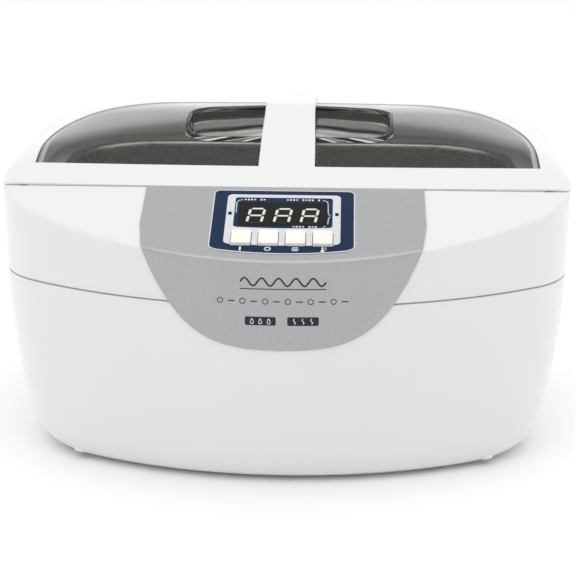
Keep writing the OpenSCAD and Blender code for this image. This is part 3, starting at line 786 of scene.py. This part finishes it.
def front_wall_y(x, z):
    """The front wall's place at x and height z."""
    front = CREASE_FRONT - DRAFT * (CREASE_Z - z)
    return -front + FRONT_R - np.sqrt(FRONT_R ** 2 - x * x)


def front_surface(x, z, off):
    """The console above the crease and the wall below it, as y at x and z, off outwards."""
    plane = (z - LID_SEAM + (SEAM_GAP - off) / cos(SLOPE)) / SLOPE_K - CONSOLE_Y
    wall = front_wall_y(x, z) - off
    return 0.5 * (plane + wall + np.sqrt((plane - wall) ** 2 + CREASE_SOFT ** 2))


def fascia():
    """The silver panel: down the console, over the crease, and round at the bottom of the front wall."""
    cols, rows = 121, 70
    xs = np.linspace(-FASCIA_HW, FASCIA_HW, cols)
    top = console_height(-CONSOLE_Y - 0.5) + FASCIA_T

    def skin(off):
        loops = []
        for j in range(rows):
            t = j / (rows - 1)
            crease = console_height(front_wall_y(xs, CREASE_Z))
            low = fascia_edge(xs)
            split = 0.55
            z = np.where(t < split, top + (np.minimum(crease, top) - top) * t / split,
                         crease + (low - crease) * (t - split) / (1 - split))
            z = np.maximum(z, np.minimum(low, top)) if t < split else np.where(low > crease, low, z)
            loops.append(np.column_stack([xs, front_surface(xs, z, off), z]))
        return loops

    outer, inner = skin(FASCIA_T), skin(0.05)
    points = [p for loop in outer + inner for p in loop]
    faces = grid_faces(rows, cols, closed=False)
    base = rows * cols
    faces = [f[::-1] for f in faces] + [tuple(base + i for i in f) for f in faces]
    border = [(0, i) for i in range(cols)] + [(j, cols - 1) for j in range(1, rows)]
    border += [(rows - 1, i) for i in range(cols - 2, -1, -1)] + [(j, 0) for j in range(rows - 2, 0, -1)]
    ring = [j * cols + i for j, i in border]
    for k, p in enumerate(ring):
        q = ring[(k + 1) % len(ring)]
        faces.append((p, q, base + q, base + p))
    mesh = mesh_of("fascia_panel", points, faces, 35)
    panel = add_object("fascia_panel", mesh, "case", SILVER, ["fascia"])
    cut(panel, console_cutters(HOLE_GAP), 35)


# ---------------------------------------------------------------- lid


def clipped(outline, front):
    """An outline with everything before the line y = front pulled back to it."""
    out = outline.copy()
    out[:, 1] = np.maximum(out[:, 1], front)
    return out


LID_FRONT = SEAM_GAP - CONSOLE_Y
LID_CENTRE = np.array([0.0, 20.0])
LID_CUT = clipped(LID_OUTLINE, LID_FRONT)
SIDE_X = LID_CUT[LID_CUT[:, 1] <= LID_FRONT + 0.01, 0].max()


def lid_moulding():
    """The white lid round the window: domed rim, planed front strip, ledge for the window, and the lip."""
    corners = [(s * SIDE_X, LID_FRONT) for s in (-1, 1)] + [(s * WINDOW_HW, -WINDOW_FRONT) for s in (-1, 1)]
    angles = ray_angles(288, LID_CENTRE, corners)

    def at(outline):
        return on_rays(outline, LID_CENTRE, angles)

    def under(p, off):
        return lift(p, dome_z(p, off))

    edge, pocket = at(LID_CUT), at(window_outline())
    hold, opening = at(window_outline(-3)), at(window_outline(3))
    lip_out = at(clipped(plan(HALF_W, FRONT_Y, REAR_Y, RIM_W + 1.2), LID_FRONT))
    lip_in = at(clipped(plan(HALF_W, FRONT_Y, REAR_Y, RIM_W + 3.2), LID_FRONT + 3))
    inward = unit(LID_CENTRE - edge)
    loops = [under(opening, GLASS_T + 2.6), under(hold, GLASS_T + 2.6), under(hold, FRAME_T)]
    loops += [under(hold + (lip_in - hold) * t, FRAME_T) for t in (0.3, 0.6, 0.85)]
    loops.append(lift(lip_in, np.maximum(dome_z(lip_in, FRAME_T), LIP_BOTTOM + 1)))
    low = SHELL_TOP + 0.1
    loops += [lift(lip_in, LIP_BOTTOM), lift(lip_out, LIP_BOTTOM), lift(lip_out, low)]
    loops += [lift(edge + inward * 0.5, low), lift(edge + inward * 0.12, low + 0.12)]
    start = edge + inward * 0.12
    for k in range(1, 25):
        p = start + (pocket - start) * (k / 25) ** 1.8
        loops.append(lift(p, np.maximum(dome_z(p), low + 0.13 + 0.01 * k)))
    for off, drop in ((0.55, 0.0), (0.25, 0.08), (0.06, 0.3), (0.0, 0.6)):
        p = pocket + unit(edge - pocket) * off
        loops.append(lift(p, dome_z(p) - drop))
    loops += [under(pocket, GLASS_T + 0.6), under(opening, GLASS_T + 0.6)]
    lid = piece("lid_moulding", loops, "lid", WHITE, "white_abs", ["lid_frame"], ring=True, angle=35)
    tools = [cylinder((x - HINGE_HW, HINGE_Y, LID_SEAM), (x + HINGE_HW, HINGE_Y, LID_SEAM), KNUCKLE_ROOM)
             for x in (-HINGE_X, HINGE_X)]
    cut(lid, tools, 35)


def strap_top(points):
    """Height of the strap's top: the front's slope, then the dome's crown, then down into the rim."""
    plane = LID_SEAM + SLOPE_K * (points[:, 1] + CONSOLE_Y) - 0.1
    middle = np.array([[0.0, STRAP_REAR - 22], [0.0, STRAP_REAR]])
    z0, z1 = dome_z(middle[:1], -STRAP_RISE)[0] + 1, dome_z(middle[1:])[0] - 0.5
    ramp = z0 + (z1 - z0) * (points[:, 1] - middle[0, 1]) / (middle[1, 1] - middle[0, 1])
    top = smooth_min(np.minimum(plane, dome_z(points, -STRAP_RISE)), ramp, 1.2)
    return smooth_min(top, LID_HIGH[2], 0.5)


def strap():
    """The bridge over the window, with soft shoulders."""
    shoulder = 2.6
    ys = np.concatenate([np.linspace(-WINDOW_FRONT - 4, 60, 53), np.linspace(61.5, STRAP_REAR, 26)])
    loops = []
    for y in ys:
        waist = 1.1 * exp(-((y - 30) / 45) ** 2)
        hw = STRAP_HW - 0.05 - waist
        across = hw * np.sin(np.linspace(-pi / 2, pi / 2, 25))
        flat = np.stack([across, np.full(len(across), y)], axis=1)
        top = strap_top(flat)
        bottom = np.minimum(dome_z(flat, 0.6), top - 0.05)
        room = np.minimum(shoulder, 0.75 * (top - bottom))
        d = np.clip(np.abs(across) - (hw - room), 0, None)
        top = top - room + np.sqrt(np.clip(room ** 2 - d ** 2, 0, None))
        upper = [(x, y, z) for x, z in zip(across, top)]
        lower = [(x, y, z) for x, z in zip(across[::-1], bottom[::-1])]
        loops.append(upper + lower)
    piece("strap", loops, "lid", WHITE, "white_abs", ["lid_frame"], cap_first=True, cap_last=True, angle=50)


WINDOW_CENTRE = np.array([0.0, 17.0])


def window_moulding():
    """The smoked window with the finger recess formed in it."""
    corners = [(s * (WINDOW_HW - 0.3), 0.3 - WINDOW_FRONT) for s in (-1, 1)]
    angles = ray_angles(300, WINDOW_CENTRE, corners)
    outlines = recess_outline(0), recess_outline(2), window_outline(0.3)
    cup, wall, edge = (on_rays(outline, WINDOW_CENTRE, angles) for outline in outlines)
    out = unit(edge - wall)
    under = GLASS_DROP + GLASS_T
    surface = dome_z(wall, GLASS_DROP)
    floor = np.minimum(RECESS_FLOOR, surface - 0.7)
    r = np.minimum(1.6, 0.42 * (surface - floor))
    loops = []
    for t in (0.3, 0.6):
        p = WINDOW_CENTRE + (wall - WINDOW_CENTRE) * t
        loops.append(lift(p, np.minimum(RECESS_FLOOR, dome_z(p, GLASS_DROP) - 0.7)))
    loops.append(lift(wall - out * (r[:, None] + 0.4), floor))
    for t in quarter(5):
        loops.append(lift(wall - out * (r * (1 - sin(t)))[:, None], floor + r * (1 - cos(t))))
    for t in quarter(5):
        p = wall + out * (r * (1 - cos(t)))[:, None]
        loops.append(lift(p, dome_z(p, GLASS_DROP) - r * (1 - sin(t))))
    start = wall + out * r[:, None]
    for t in list(np.linspace(0.02, 0.1, 4)) + list(np.linspace(0.14, 0.995, 26)):
        p = start + (edge - start) * t
        loops.append(lift(p, dome_z(p, GLASS_DROP)))
    loops += [lift(edge, dome_z(edge, GLASS_DROP) - 0.25), lift(edge, dome_z(edge, under))]
    for t in (0.85, 0.65, 0.45, 0.3, 0.2, 0.1, 0.0):
        p = cup + (edge - cup) * t
        loops.append(lift(p, dome_z(p, under)))
    under_z = np.minimum(RECESS_FLOOR - 2, dome_z(cup, under) - 0.6)
    loops += [lift(cup, under_z), lift(WINDOW_CENTRE + (cup - WINDOW_CENTRE) * 0.6, under_z)]
    piece("window", loops, "lid", SMOKED, "smoked", ["lid_window"], cap_first=True, cap_last=True, angle=40)


def window_gap_band():
    """The black band in the gap round the window."""
    loops = []
    for off, n in ((0.1, 0.75), (0.75, 0.62), (0.8, 1.3), (0.1, 1.6)):
        p = window_outline(off)
        loops.append(lift(p, dome_z(p, n)))
    piece("window_gap_dark", loops, "lid", BLACK, "smoked", ring=True, angle=60)


def recess_painted_shade():
    """Painted shade: a black strip round the back and the ends of the finger recess, widest in the middle of
    the back, standing in for the dark edge of the recess's wall.
    """
    angles = np.radians(np.linspace(-25, 205, 241))
    width = 0.5 + 1.1 * np.clip(np.sin(angles), 0, 1) ** 1.5
    inner = on_rays(recess_outline(0.5), WINDOW_CENTRE, angles)
    outer = inner + unit(inner - WINDOW_CENTRE) * width[:, None]
    section = ((inner, 0.55), (outer, 0.55), (outer, 0.8), (inner, 0.8))
    corners = [lift(p, dome_z(p, off)) for p, off in section]
    loops = [list(four) for four in zip(*corners)]
    piece("recess_painted_shade", loops, "lid", BLACK, "smoked", cap_first=True, cap_last=True, angle=50)


# ---------------------------------------------------------------- tank


def tank():
    """The drawn stainless tank with its soft flange and rounded bottom."""
    top, bottom = TANK_HIGH[2], TANK_LOW[2]
    lip = [(TANK_FLANGE, top - 0.8), (TANK_FLANGE, top - 0.2), (TANK_FLANGE - 0.3, top), (2.4, top),
           (1.3, top - 0.25), (0.5, top - 0.9), (0.1, top - 1.9), (0.0, top - 3.2)]
    floor, r = bottom + SHEET_T, 9.0
    wall = [(0.0, z) for z in np.linspace(top - 12, floor + r + 1, 8)]
    corner = [(-r * (1 - cos(t)), floor + r * (1 - sin(t))) for t in quarter(8)]
    back = [(-r, bottom), (-r * 0.35, bottom + 1.6), (SHEET_T - 0.1, bottom + r), (SHEET_T, bottom + r + 4),
            (SHEET_T, top - 4.0), (SHEET_T + 0.5, top - 1.6), (2.4, top - 0.8)]
    inside = [lift(tank_outline(off), z) for off, z in lip + wall + corner]
    outside = [lift(tank_outline(off), z) for off, z in back]
    half = np.array([0.5, 0.5, 1])
    middle = np.array([0, TANK_Y / 2, 0])
    steel = ("case", STAINLESS, "stainless", ["tank"])
    piece("tank_shell", inside + [inside[-1] * half + middle], *steel, cap_last=True, angle=50)
    loops = [outside[0] * half + middle] + outside + [inside[0]]
    piece("tank_outside", loops, *steel, cap_first=True, angle=50)


# ---------------------------------------------------------------- console


def bowed_plate(half_w, r, top, side, bow, reach=0.9, end=2, corner=10, steps=21):
    """A rounded rectangle in u and -s whose lower edge bows."""
    left, right = r - half_w, half_w - r
    edge = [(half_w * t, side - bow * (1 - t * t)) for t in np.linspace(-reach, reach, steps)]
    return np.concatenate([arc(right, top - r, r, 0, 90, corner), arc(left, top - r, r, 90, 180, corner),
                           arc(left, side + r, r, 180, 270 - end, corner), np.array(edge),
                           arc(right, side + r, r, 270 + end, 360, corner)])


def label_outline(off=0.0):
    return bowed_plate(LABEL_W / 2 - off, LABEL_R - off * 0.6, -LABEL_TOP - off, -LABEL_SIDE + off, LABEL_BOW,
                       end=8, steps=31)


def on_label(name, loops, low_n, high_n, material, bevel=0.0, replaces=()):
    """A flat plate on the console between two heights over its plane, with its loops in u and -s."""
    return slab(name, loops, high_n - low_n, bevel, console_matrix(low_n), material, replaces)


def shifted(outline, u, s):
    return np.array(outline) + np.array([u, -s])


FRAME_OUTLINE = bowed_plate(27.2, 2.5, -7.2, -48.1, 1.2)
SCREEN_OUTLINE = bowed_plate(23.4, 1.6, -9.8, -34.5, 0.8, reach=0.92, corner=8)


def stroke(points, width):
    """The closed outline of a pen stroke."""
    left, right = pen_edges(points, width)
    return np.concatenate([left, right[::-1]])


def segments(u, base_s, height, width, slant, pen):
    """The seven segments of a digit, a to g, as outlines in u and -s."""
    def bar(x0, y0, x1, y1):
        p, q = np.array([x0, y0]), np.array([x1, y1])
        d = (q - p) / np.linalg.norm(q - p)
        n = np.array([-d[1], d[0]]) * pen / 2
        tip = d * pen / 2
        p, q = p + d * 0.45, q - d * 0.45
        shape = np.array([p, p + tip + n, q - tip + n, q, q - tip - n, p + tip - n])
        shape[:, 0] += slant * shape[:, 1] / height
        return shape + np.array([u, -base_s])

    x0, x1, y0, y1, y2 = pen / 2, width - pen / 2, pen / 2, height / 2, height - pen / 2
    return {"a": bar(x0, y2, x1, y2), "b": bar(x1, y1, x1, y2), "c": bar(x1, y0, x1, y1),
            "d": bar(x0, y0, x1, y0), "e": bar(x0, y0, x0, y1), "f": bar(x0, y1, x0, y2),
            "g": bar(x0, y1, x1, y1)}


def ring_outline(r):
    return arc(0, 0, r, 0, 360, 24)


def fine_marks():
    """The thin brackets and rows of dashes round the display."""
    brackets = [[(-19.8, -11.7), (-21.6, -12.4), (-22.6, -14), (-22.6, -18), (-22.5, -22.9)],
                [(18.6, -11.7), (20.3, -12.3), (21, -13.6), (21.2, -18), (21.3, -23), (22.2, -24.5)],
                [(22.2, -25.5), (21.4, -27), (21.2, -31), (20.4, -33.2), (18.8, -34.3)]]
    brackets = [stroke(points, 0.4) for points in brackets]
    marks = []
    for left, right, s in ((-19, -8.5, 11.6), (1.2, 18, 11.6), (4.6, 18, 34.0)):
        count = int((right - left) / 1.5)
        for k in range(count):
            if k % 5 < 4:
                tall = 1.4 if k % 3 else 1.0
                marks.append(shifted(rounded_rect(0.85, tall, 0.15, 2), left + 1.5 * k + 0.5, s))
    return brackets + marks


def key_symbols():
    """A bar, a ring, three rules and a thermometer: one symbol below each key."""
    on, off, setting, heat = BUTTON_X
    s, three = KEY_MARK_S, (-1, 0, 1)
    icons = [shifted(rounded_rect(0.9, 3.2, 0.3, 4), on, s)]
    icons += [shifted(ring_outline(r), off, s) for r in (1.6, 0.95)]
    icons += [shifted(rounded_rect(3.6 - abs(k) * 0.8, 0.6, 0.25, 3), setting, s + 1.15 * k) for k in three]
    icons.append(shifted(rounded_rect(0.9, 2.4, 0.4, 4), heat, s - 0.75))
    icons.append(shifted(ring_outline(0.95), heat, s + 1.3))
    icons += [shifted(rounded_rect(0.9, 0.35, 0.12, 2), heat + 1.4, s - 0.6 + 0.85 * k) for k in three]
    return icons


def control_panel():
    """The navy label, its silver frame, the display with three digits, and the printed marks."""
    hole = rounded_rect(BUTTON_SIZE[0] + 0.6, BUTTON_SIZE[1] + 0.6, 1.1)
    holes = [shifted(hole, x, BUTTON_S) for x in BUTTON_X]
    lens_hole = shifted(rounded_rect(LENS_SIZE[0] + 0.3, LENS_SIZE[1] + 0.3, 0.8), 0, DISPLAY_S)
    n = LABEL_N
    on_label("control_film", [label_outline(0.55), lens_hole] + holes, 0.3, n, NAVY,
             replaces=["control_label"])
    on_label("film_border", [label_outline(0), label_outline(0.5)], 0.3, n - 0.02, PRINT)
    frame_loops = [FRAME_OUTLINE, lens_hole] + holes
    on_label("silver_frame", frame_loops, n, n + 0.04, BRIGHT_SILVER)
    on_label("display_surround", [SCREEN_OUTLINE, lens_hole], n + 0.04, n + 0.08, NAVY)
    lens = shifted(rounded_rect(*LENS_SIZE, 0.7), 0, DISPLAY_S)
    on_label("display_cover", [lens], -1.4, n + 0.14, LENS, 0.1, replaces=["display_lens"])
    lit, dim = [], []
    for u in DIGIT_X:
        parts = segments(u, base_s=31.5, height=DIGIT_H, width=8.0, slant=1.6, pen=1.25)
        dim.append(parts.pop("d"))
        lit += list(parts.values())
    on_label("digits_lit", lit, n + 0.14, n + 0.18, SEGMENT)
    on_label("digits_dim", dim, n + 0.14, n + 0.17, SEGMENT_DIM)
    lamps = [shifted(rounded_rect(1.7, 2.4, 0.3, 4), u, DISPLAY_S - 0.3) for u in (-LAMP_U, LAMP_U)]
    on_label("lamp_windows", lamps, n + 0.04, n + 0.12, LENS)
    on_label("fine_marks", fine_marks(), n + 0.08, n + 0.11, PRINT)
    on_label("key_symbols", key_symbols(), n, n + 0.03, PRINT)


def button(name, x):
    """A satin key with a shallow dish, rounded edges and a stem."""
    w, d = BUTTON_SIZE
    loops = []
    top = BUTTON_TOP
    for off, n in ((0.2, -4.0), (0.0, -3.8), (0.0, top - 0.55), (0.08, top - 0.25), (0.3, top - 0.06),
                   (0.6, top), (1.2, top - 0.04), (2.4, top - 0.13), (4.0, top - 0.18)):
        outline = rounded_rect(w - 2 * off, d - 2 * off, max(0.2, 1.0 - 0.25 * off), 6)
        loops.append([console(x + u, BUTTON_S - v, n) for u, v in outline])
    stem = [(2.0, -7.0), (2.0, -4.0)]
    mesh = looped(name + "_key", loops, cap_first=True, cap_last=True, angle=50)
    rounds = [[console(x + u, BUTTON_S - v, n) for u, v in ring_outline(r)] for r, n in stem]
    rod = looped("stem", rounds, True, True)
    merged(name + "_key", [mesh, rod], name, CREAM, [name])


def on_wall(x, z, n):
    """A place on the fascia's front, n out of it."""
    y = front_surface(np.array([x]), np.array([z]), FASCIA_T + n)[0]
    return (x, y, z)


def wall_ribbon(name, columns):
    """A thin printed band over the curved front: columns of (x, low z, high z)."""
    loops = []
    for x, low, high in columns:
        loops.append([on_wall(x, z, n) for z, n in ((low, -0.1), (low, 0.03), (high, 0.03), (high, -0.1))])
    return looped(name, loops, cap_first=True, cap_last=True, angle=60)


def wall_stroke(points, pen):
    """A thin printed line over the curved front."""
    loops = []
    for p, q in zip(*pen_edges(points, pen)):
        loops.append([on_wall(*p, -0.1), on_wall(*p, 0.05), on_wall(*q, 0.05), on_wall(*q, -0.1)])
    return looped("stroke", loops, cap_first=True, cap_last=True, angle=60)


def fascia_print():
    """Generic marks on the front: a wave over a rule, a dotted line, and two pills, with drops and warmth."""
    dark, pale = [], []
    xs = np.linspace(-18.5, 21, 100)
    wave = [(x, 104.6 + 1.9 * sin((x + 18.5) / 39.5 * 10 * pi)) for x in xs]
    dark.append(wall_stroke(wave, 0.8))
    dark.append(wall_ribbon("rule", [(x, 100.9, 101.35) for x in np.linspace(-18.8, 21.2, 21)]))
    for k in range(12):
        x = -28 + k * 5.25
        if k % 2:
            dark.append(wall_ribbon("dash", [(x + d, 94.7, 95.25) for d in np.linspace(-1.6, 1.6, 5)]))
        else:
            circle = [(x + 1.25 * cos(t), 95 + 1.25 * sin(t)) for t in np.linspace(0, 2 * pi, 21)]
            dark.append(wall_stroke(circle, 0.4))
    for left, right in ((-16.5, -2.1), (3.2, 17.8)):
        columns = []
        for x in np.concatenate([np.linspace(left, left + 0.8, 5), np.linspace(left + 1.5, right - 1.5, 9),
                                 np.linspace(right - 0.8, right, 5)]):
            d = max(0.0, left + 0.8 - x, x - right + 0.8)
            lift_z = 0.8 - sqrt(max(0.0, 0.64 - d * d))
            columns.append((x, 83.1 + lift_z, 87.4 - lift_z))
        dark.append(wall_ribbon("pill", columns))
    for x in (-13.2, -9.3, -5.4):
        drop = [(x + 0.95 * sin(t) * sin(t / 2) ** 1.2, 85.2 + 1.35 * cos(t))
                for t in np.linspace(0.05, 2 * pi - 0.05, 21)]
        pale.append(wall_stroke(drop, 0.35))
    for x in (6.5, 10.5, 14.5):
        wave = [(x + 0.45 * sin(t * 2 * pi), 83.9 + 2.7 * t) for t in np.linspace(0, 1, 15)]
        pale.append(wall_stroke(wave, 0.4))
    merged("front_marks", dark, "case", PRINT_DARK)
    for mesh in pale:
        mesh.transform(Matrix.Translation((0, -0.00003, 0)))
    merged("pill_marks", pale, "case", PRINT)


# ---------------------------------------------------------------- assembly

POSTS = [cylinder((x, y, FOOT_H + 2), (x, y, 29), 5.0) for x, y in POST_XY]
base_shell()
merged("base_posts", POSTS, "case", WHITE)
POST_TOP = {86: DECK_TOP - 3, -72: DECK_TOP - 6.8}
UPPER_POSTS = [cylinder((x, y, POST_SPLIT), (x, y, POST_TOP[y]), 4.5) for x, y in POST_XY]
merged("upper_posts", UPPER_POSTS, "case", WHITE)
PAD = [shifted(outline, INLET_AT[0], -INLET_AT[2])
       for outline in (rounded_rect(44, 32, 2), rounded_rect(2 * INLET_HOLE[0], 2 * INLET_HOLE[1], 0.5))]
PAD_MATRIX = Matrix.Rotation(pi / 2, 4, "X")
PAD_MATRIX.translation = Vector((0, INLET_AT[1] * MM, 0))
slab("inlet_pad", PAD, 5.0, 0.4, PAD_MATRIX, WHITE)
upper_shell()
seam_band()
fascia()
lid_moulding()
strap()
window_moulding()
window_gap_band()
recess_painted_shade()
tank()
control_panel()
fascia_print()
for name, x in zip(("button_on", "button_off", "button_set", "button_tc"), BUTTON_X):
    button(name, x)

# ---------------------------------------------------------------- stage, camera and light


FLOOR_HALF = 6.0
CAMERA_YAW = radians(1.904)
CAMERA_RISE = radians(16.487)
CAMERA_ROLL = radians(0.316)
CAMERA_TARGET = Vector((-0.476, 0, 68.479)) * MM
CAMERA_DISTANCE = 0.85
CAMERA_LENS = 99.92


def stage_floor():
    corners = [(x * FLOOR_HALF, y * FLOOR_HALF, 0) for x, y in ((-1, -1), (1, -1), (1, 1), (-1, 1))]
    mesh = bpy.data.meshes.new("floor")
    mesh.from_pydata(corners, [], [(0, 1, 2, 3)])
    mesh.materials.append(pale_floor())
    floor = bpy.data.objects.new("floor", mesh)
    bpy.context.scene.collection.objects.link(floor)


def soft_box(name, place, target, size, power):
    light = bpy.data.lights.new(name, "AREA")
    light.shape = "RECTANGLE"
    light.size, light.size_y = size
    light.energy = power
    obj = bpy.data.objects.new(name, light)
    obj.location = place
    obj.rotation_euler = (Vector(place) - Vector(target)).to_track_quat("Z", "Y").to_euler()
    bpy.context.scene.collection.objects.link(obj)


def camera():
    level = cos(CAMERA_RISE)
    back = Vector((sin(CAMERA_YAW) * level, -cos(CAMERA_YAW) * level, sin(CAMERA_RISE)))
    data = bpy.data.cameras.new("camera")
    data.sensor_width = 36.0
    data.lens = CAMERA_LENS
    data.dof.use_dof = False
    data.clip_start, data.clip_end = 0.05, 20.0
    obj = bpy.data.objects.new("camera", data)
    aim = back.to_track_quat("Z", "Y").to_matrix().to_4x4() @ Matrix.Rotation(CAMERA_ROLL, 4, "Z")
    obj.matrix_world = Matrix.Translation(CAMERA_TARGET + back * CAMERA_DISTANCE) @ aim
    bpy.context.scene.collection.objects.link(obj)
    bpy.context.scene.camera = obj


WORLD_FRONT = 0.15
WORLD_BACK = 1.04


def studio_world():
    """A white surround, darker straight in front, so that the walls facing the camera read as walls."""
    world = bpy.data.worlds.new("studio")
    world.use_nodes = True
    tree = world.node_tree
    background = tree.nodes["Background"]
    place = add_node(tree, "TexCoord")
    split = add_node(tree, "SeparateXYZ")
    tree.links.new(place.outputs["Generated"], split.inputs["Vector"])
    strength = map_range(tree, split.outputs["Y"], -0.96, -0.72, WORLD_FRONT, WORLD_BACK)
    tree.links.new(strength, background.inputs["Strength"])
    background.inputs["Color"].default_value = (1.0, 1.0, 1.0, 1)
    bpy.context.scene.world = world


stage_floor()
camera()
studio_world()
soft_box("top_light", (0.1, -0.3, 1.3), (0, 0, 0.05), (1.6, 1.2), 3.0)
soft_box("left_light", (-1.2, -0.7, 0.7), (0, 0, 0.07), (0.7, 1.0), 1.0)
soft_box("right_light", (1.2, -0.6, 0.6), (0, 0, 0.07), (0.6, 1.0), 0.4)
bpy.context.scene.view_settings.view_transform = "Standard"
